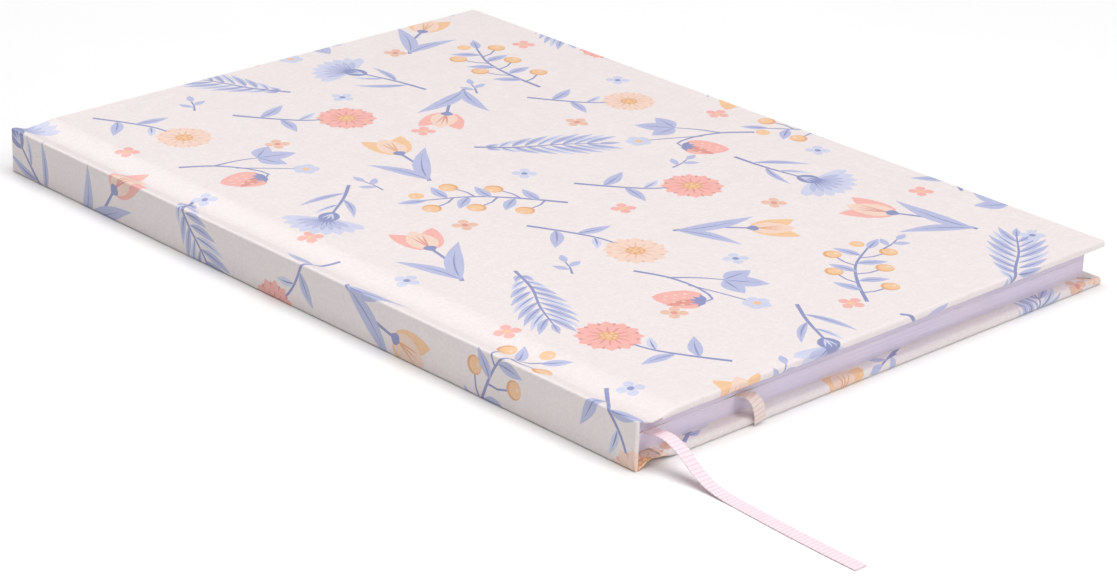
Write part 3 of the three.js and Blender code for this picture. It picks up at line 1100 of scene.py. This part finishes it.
LEAF_GAP = 0.002
LEAF_TRIM = 0.03
FOLDED_SHEETS = 4
FOLD_STEPS = 8
SMALLEST_FOLD = 0.004
CLOSED_SLOT = 0.08
SPREAD = (SLOT_TOP - SLOT_BOTTOM - CLOSED_SLOT) / 2
CLEAR_OF_RIBBON = 2.2
SPREAD_REACH = 4
SHARES_BETWEEN_RIBBONS = (0.08, 0.12, 0.16, 0.23, 0.5, 0.77, 0.84, 0.88, 0.92)
STEPS_PAST_RIBBON = (2.2, 3.2, 4.2, 6.4)
SLOT_ROWS = 9


def slot_places(y):
    """Places across a leaf beside the slot, and how far the leaf reaches into the slot at each.

    The slot stays open at the ribbons and closes between and past them."""
    pink = between_leaves(PINK_AT_FOOT, PINK_AT_HEAD, y)
    cream = between_leaves(CREAM_AT_FOOT, CREAM_AT_HEAD, y)
    across = [pink] + [pink + share * (cream - pink) for share in SHARES_BETWEEN_RIBBONS]
    across += [cream + step for step in STEPS_PAST_RIBBON]
    places = []
    for x in across:
        clear = min(x - pink, abs(x - cream)) - CLEAR_OF_RIBBON
        share = min(max(clear / SPREAD_REACH, 0.0), 1.0)
        places.append((SPINE_FACE + x, SPREAD * share * share * (3 - 2 * share)))
    return places


def sheet_points(box, outer, inner, trims, into_slot):
    """The places of one folded sheet, one place across it after another, and how many rows it has.

    into_slot is -1 or 1 where the leaves under or over the fold lie beside the ribbons' slot."""
    low, high = box
    middle = (low.z + high.z) / 2
    half = (high.z - low.z) / 2
    turn_x = low.x + half
    end, foot, head = high.x - trims[0], low.y + trims[1], high.y - trims[2]
    rows = SLOT_ROWS if into_slot else 2
    ys = [foot + (head - foot) * r / (rows - 1) for r in range(rows)]

    def side(radius, y):
        def leaf_side(sign):
            filled = radius / half if sign == into_slot else 0
            places = slot_places(y) + [(end, SPREAD)] if into_slot else [(end, 0)]
            return [(x, middle + sign * (radius + filled * reach)) for x, reach in places]

        arc = [math.pi * k / FOLD_STEPS for k in range(FOLD_STEPS + 1)]
        bent = [(turn_x - radius * math.sin(t), middle - radius * math.cos(t)) for t in arc]
        return leaf_side(-1)[::-1] + bent + leaf_side(1)

    across = [[side(radius, y) for y in ys] for radius in (outer, inner)]
    points = []
    for k in range(len(across[0][0])):
        for r, y in enumerate(ys):
            points += [(across[s][r][k][0], y, across[s][r][k][1]) for s in (0, 1)]
    return points, rows


def sheet_faces(first, count, rows):
    """The faces of a folded sheet whose points begin at first, and a 1 for each cut edge."""
    faces, kinds = [], []

    def add_face(ring, kind):
        faces.append([first + 2 * (k * rows + r) + s for k, r, s in ring])
        kinds.append(kind)

    for k in range(count - 1):
        for r in range(rows - 1):
            ring = [(k, r), (k, r + 1), (k + 1, r + 1), (k + 1, r)]
            add_face([(*place, 0) for place in ring], 0)
            add_face([(*place, 1) for place in ring[::-1]], 0)
        for r, step in ((0, 1), (rows - 1, -1)):
            add_face([(k, r, 0), (k + 1, r, 0), (k + 1, r, 1), (k, r, 1)][::step], 1)
    for r in range(rows - 1):
        for k, step in ((0, 1), (count - 1, -1)):
            add_face([(k, r, 0), (k, r, 1), (k, r + 1, 1), (k, r + 1, 0)][::step], 1)
    return faces, kinds


def add_section(name, body):
    """A section: sheets folded one inside the other, each with its own small trims."""
    chance = random.Random(name)
    box = node_box(name)
    thickness = (box[1].z - box[0].z) / 2 / FOLDED_SHEETS
    into_slot = {"upper_section_1": -1, "lower_section_5": 1}.get(name, 0)
    points, faces, kinds = [], [], []
    for k in range(FOLDED_SHEETS):
        outer = thickness * (FOLDED_SHEETS - k) - LEAF_GAP / 2
        inner = max(thickness * (FOLDED_SHEETS - k - 1), SMALLEST_FOLD) + LEAF_GAP / 2
        trims = [chance.uniform(0, LEAF_TRIM) for _ in range(3)]
        places, rows = sheet_points(box, outer, inner, trims, into_slot)
        sheet, edges = sheet_faces(len(points), len(places) // (2 * rows), rows)
        points += places
        faces += sheet
        kinds += edges
    piece = add_mesh(name + "_leaves", points, faces, [page_paper, page_edge], kinds)
    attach(piece, body)
    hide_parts(name)


def add_leaves():
    for body, members in frame["record"]["behaviour"]["bodies"].items():
        for name in members:
            if "section" in name:
                add_section(name, body)


def add_mull_and_lining():
    """The open cloth and the paper behind the folds, halved where the leaves part."""
    for name, material, slot in (
        ("mull", mull_cloth, "mull_cloth"),
        ("spine_lining", lining_paper, "lining_paper"),
    ):
        low, high = node_box(name)
        thin = MULL_THICKNESS if name == "mull" else high.x - low.x
        for part, z0, z1, cover, section in (
            ("lower", low.z, SLOT_BOTTOM, "back_cover", "lower_section_5_leaves"),
            ("upper", high.z, SLOT_TOP, "front_cover", "upper_section_1_leaves"),
        ):
            piece = standing_sheet(f"{name}_{part}_piece", low, high, z0, z1, thin, material)
            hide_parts(name)
            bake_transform(piece)


def standing_sheet(name, low, high, z0, z1, thin, material):
    """A thin upright sheet behind the folds of the leaves."""
    steps = 8
    points, faces = [], []
    for k in range(steps + 1):
        z = z0 + (z1 - z0) * k / steps
        points += [(low.x, low.y, z), (low.x, high.y, z), (low.x + thin, high.y, z), (low.x + thin, low.y, z)]
    for k in range(steps):
        for c in range(4):
            a, b = 4 * k + c, 4 * k + (c + 1) % 4
            faces.append((a, a + 4, b + 4, b))
    faces += [(0, 1, 2, 3), tuple(reversed(range(4 * steps, 4 * steps + 4)))]
    if z1 < z0:
        faces = [tuple(reversed(face)) for face in faces]
    return add_mesh(name, points, faces, [material])


def dress_nodes():
    finishes = {
        greyboard: ("front_board", "back_board", "spine_board"),
        paste_down: ("front_pastedown", "back_pastedown"),
        fly_leaf: ("front_flyleaf", "back_flyleaf"),
    }
    for material, names in finishes.items():
        for name in names:
            mesh = frame["nodes"][name].data
            mesh.materials.clear()
            mesh.materials.append(material)


# Surroundings

FLOOR_REACH = 4000
AMBIENT = 0.13


def add_floor():
    nodes = Nodes("floor")
    tone = colour(246, 245, 245)
    nodes.set(
        Base_Color=nodes.shade(nodes.noise(60, 2), tone, 0.99),
        Roughness=0.8,
    )
    corners = ((-1, -1), (1, -1), (1, 1), (-1, 1))
    points = [(FLOOR_REACH * x, FLOOR_REACH * y, 0) for x, y in corners]
    floor = add_mesh("floor", points, [(0, 1, 2, 3)], [nodes.material])


def add_lamp(name, place, size, watts):
    data = bpy.data.lights.new(name, "AREA")
    data.shape = "DISK"
    data.size = size
    data.energy = watts
    lamp = bpy.data.objects.new(name, data)
    lamp.location = place
    lamp.rotation_euler = Vector(place).to_track_quat("Z", "Y").to_euler()
    bpy.context.scene.collection.objects.link(lamp)


def add_lights():
    world = bpy.data.worlds.new("studio")
    world.use_nodes = True
    background = world.node_tree.nodes["Background"]
    background.inputs["Color"].default_value = (1, 1, 1, 1)
    background.inputs["Strength"].default_value = AMBIENT
    bpy.context.scene.world = world
    add_lamp("overhead_softbox", place=(0, -0.05, 1.1), size=0.9, watts=9.2)
    add_lamp("back_softbox", place=(0.2, 1.0, 0.9), size=1.0, watts=4.5)
    add_lamp("foot_softbox", place=(0.3, -0.9, 0.9), size=0.7, watts=4.6)
    add_lamp("spine_fill", place=(-0.5, -0.7, 0.35), size=0.5, watts=1.2)
    bpy.context.scene.view_settings.view_transform = "Standard"


add_camera()
add_ribbons()
add_case()
add_leaves()
add_mull_and_lining()
dress_nodes()
add_floor()
add_lights()
